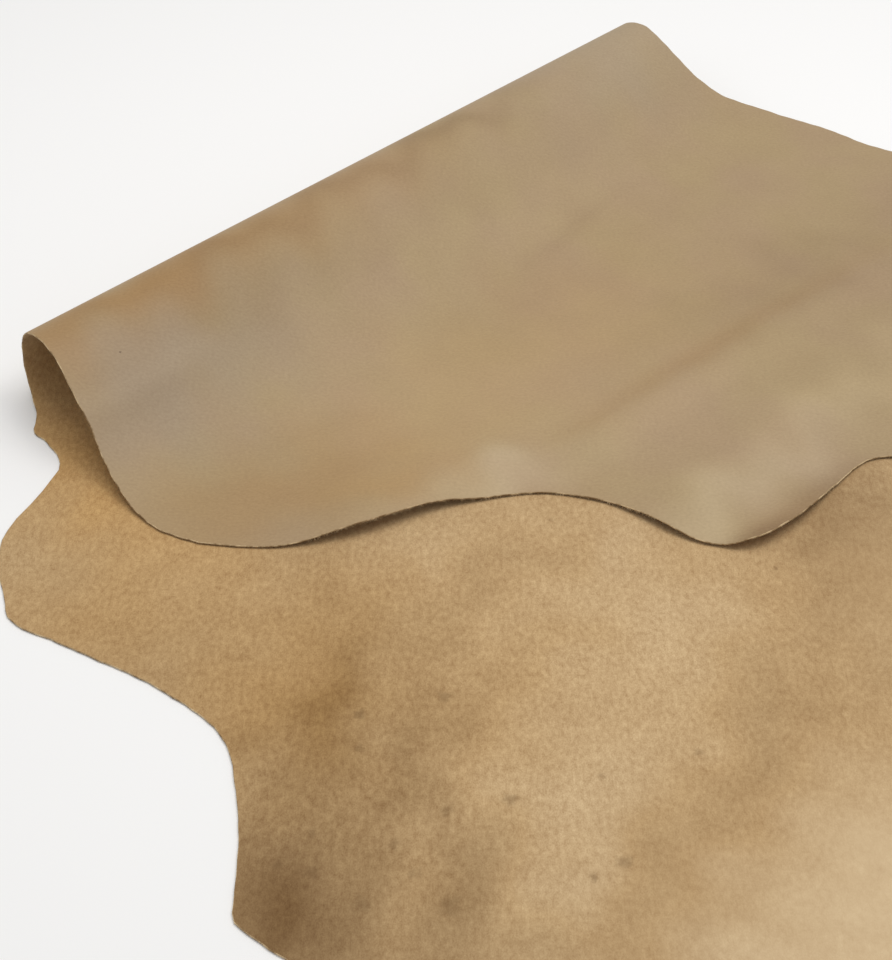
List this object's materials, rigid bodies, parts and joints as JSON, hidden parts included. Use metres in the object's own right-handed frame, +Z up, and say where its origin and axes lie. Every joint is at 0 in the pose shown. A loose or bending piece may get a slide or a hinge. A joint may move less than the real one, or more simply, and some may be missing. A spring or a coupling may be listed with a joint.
{
  "type": "lining leather hide",
  "caption": "Natural lining hide with an irregular cut outline, folded over once: the smooth flap lies on the napped floor layer, with an open loose fold along the back.",
  "frame": {"origin": "on the floor, at the bottom centre of the hide's box", "axes": "+X along the fold, from the end with the open fold and the shank lobe to the far end; +Y from the front edges back to the fold; +Z up"},
  "size_m": [0.9298, 0.7746, 0.0655],
  "materials": {
    "leather": "natural taupe, satin grain side and napped flesh side"
  },
  "bodies": {
    "root": {"lining_hide": "leather"}
  },
  "joints": []
}
